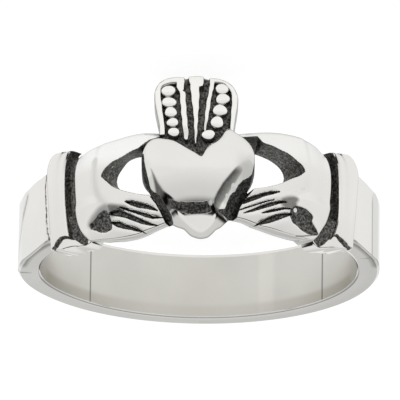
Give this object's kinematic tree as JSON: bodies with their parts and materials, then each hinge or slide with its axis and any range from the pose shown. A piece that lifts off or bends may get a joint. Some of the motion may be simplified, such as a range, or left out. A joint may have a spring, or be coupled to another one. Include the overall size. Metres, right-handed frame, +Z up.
{
  "type": "claddagh ring",
  "caption": "Silver finger ring: two cuffed hands hold a domed heart under a beaded crown, on a plain flat band.",
  "frame": {"origin": "centre of the finger hole, in the middle of the band's width", "axes": "+Z up from the surface that the ring lies on, -Y towards the heart, +X across the ring"},
  "size_m": [0.0194, 0.0211, 0.0092],
  "materials": {
    "silver": "polished silver, with blackened grainy recesses between the raised forms"
  },
  "bodies": {
    "root": {"claddagh_ring": "silver"}
  },
  "joints": []
}
